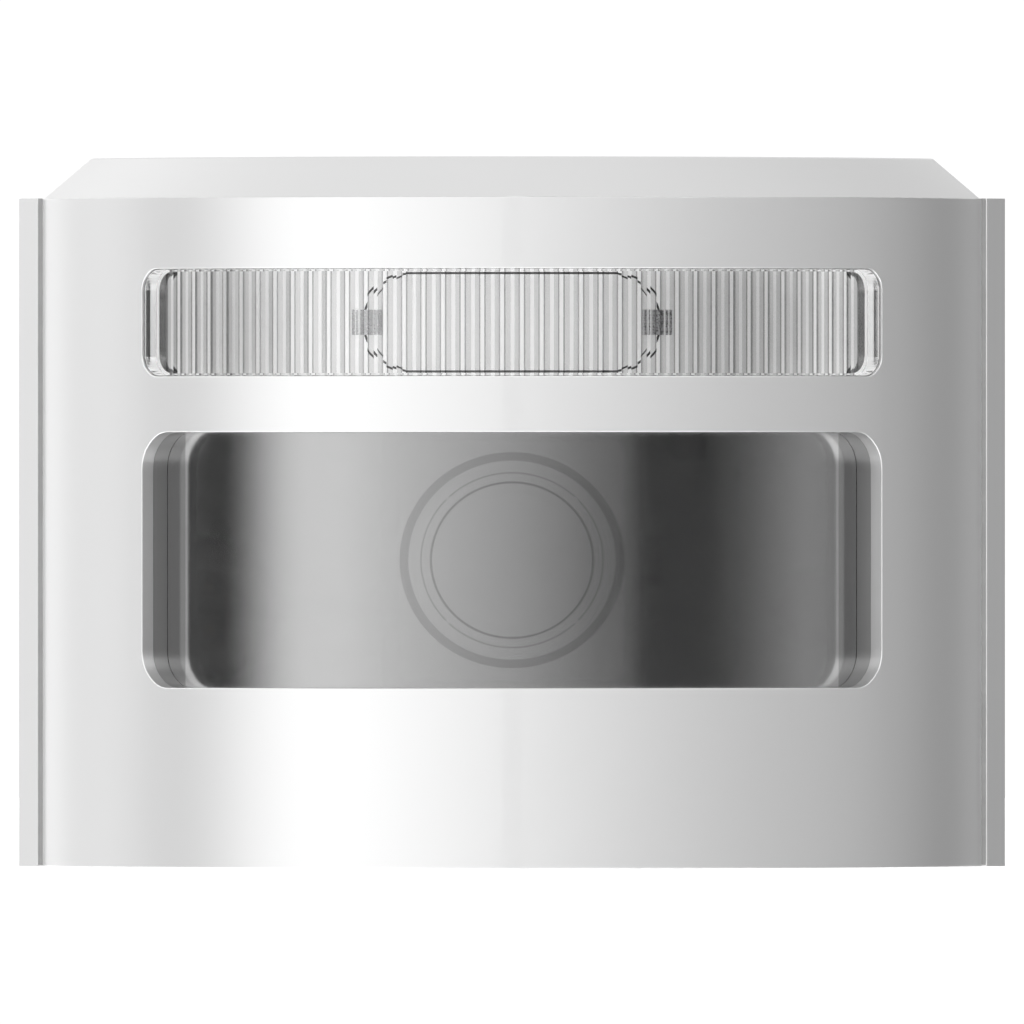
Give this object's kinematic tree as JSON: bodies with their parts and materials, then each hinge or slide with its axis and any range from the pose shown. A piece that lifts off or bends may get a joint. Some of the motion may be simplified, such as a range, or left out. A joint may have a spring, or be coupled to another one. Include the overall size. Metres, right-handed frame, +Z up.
{
  "type": "lidar scanner module",
  "caption": "Half-round scanner module with a satin aluminium front, a fluted light strip above a smoked scan window, a bevelled cap, side rails and a flat bolt-up back.",
  "frame": {"origin": "middle of the footprint on the base plane", "axes": "+Z up, the rounded front faces -Y, the flat back faces +Y, +X is the right side as seen from the front"},
  "size_m": [0.13, 0.06, 0.0933],
  "materials": {
    "satin_aluminium": "fine bead-blasted, clear anodised",
    "frame_aluminium": "machined, clear anodised",
    "black_aluminium": "black anodised",
    "motor_can": "drawn steel",
    "steel": "zinc plated",
    "bearing_steel": "ground",
    "nickel": "nickel plated",
    "magnet": "nickel plated",
    "brass": "turned",
    "gold_pins": "gold plated",
    "smoked_acrylic": "polished, grey tinted",
    "clear_polycarbonate": "polished, fluted behind",
    "lens_glass": "polished, coated",
    "filter_glass": "dichroic filter",
    "white_plastic": "moulded",
    "reflector": "satin metallised",
    "gear_resin": "natural acetal",
    "black_plastic": "moulded, fine texture",
    "chip_plastic": "epoxy package",
    "green_board": "solder mask",
    "amber_flex": "polyimide",
    "led_package": "emitter package",
    "cable_jacket": "soft jacket",
    "black_rubber": "moulded",
    "grey_rubber": "extruded"
  },
  "bodies": {
    "housing": {"front_cover": "satin_aluminium", "rear_housing": "satin_aluminium", "top_cap": "satin_aluminium", "cap_gasket": "black_rubber", "base_plate": "black_plastic", "base_seal": "black_rubber", "tie_bolts": "steel", "side_seals": "grey_rubber", "mount_inserts": "brass", "window_carrier": "frame_aluminium", "smoked_window": "smoked_acrylic", "smoked_window_gasket": "black_rubber", "fluted_lens": "clear_polycarbonate", "fluted_lens_gasket": "black_rubber", "light_shield": "black_plastic", "carrier_screws": "steel", "emitter_tray": "reflector", "emitter_plate": "reflector", "emitter_clips": "steel", "emitter_flex": "black_plastic", "emitter_leds": "led_package", "scan_frame": "frame_aluminium", "frame_screws": "steel", "bearing_outer_rings": "bearing_steel", "pan_motor": "motor_can", "motor_screws": "steel", "encoder_board": "green_board", "main_board": "green_board", "board_chips": "chip_plastic", "board_sockets": "white_plastic", "board_screws": "steel", "socket_shell": "nickel", "socket_nut": "nickel", "socket_seal": "black_rubber", "socket_core": "black_plastic", "socket_pins": "gold_pins", "io_harness": "cable_jacket", "vent_plug": "black_plastic", "vent_nut": "black_plastic"},
    "scan_head": {"yoke": "black_aluminium", "pan_shafts": "steel", "bearing_inner_rings": "bearing_steel", "sector_gear": "gear_resin", "encoder_magnet": "magnet", "clock_spring": "amber_flex"},
    "barrel": {"barrel_tube": "black_aluminium", "barrel_bumper": "black_rubber", "retaining_ring": "black_aluminium", "lens_cell": "black_aluminium", "objective_lens": "lens_glass", "band_filter": "filter_glass", "rear_lens": "lens_glass", "detector_board": "green_board", "detector_parts": "chip_plastic", "barrel_back": "black_plastic", "tilt_pins": "steel", "tilt_lock": "steel"},
    "motor_rotor": {"motor_shaft": "steel", "pinion_gear": "brass"}
  },
  "joints": [
    {"name": "scan_pan", "type": "hinge", "parent": "housing", "child": "scan_head", "pos_m": [0, 0.0015, 0.04038], "axis": [0, 0, 1], "range_deg": [-35, 35], "deforming": ["clock_spring"]},
    {"name": "barrel_tilt", "type": "hinge", "parent": "scan_head", "child": "barrel", "pos_m": [0, 0.0015, 0.04038], "axis": [1, 0, 0], "range_deg": [-8, 8]},
    {"name": "motor_spin", "type": "hinge", "parent": "housing", "child": "motor_rotor", "pos_m": [0.01689, 0.01125, 0.0607], "axis": [0, 0, 1], "range_deg": [-118, 118]}
  ],
  "couplings": [
    {"joint": "motor_spin", "follows": "scan_pan", "ratio": -3.3333}
  ]
}
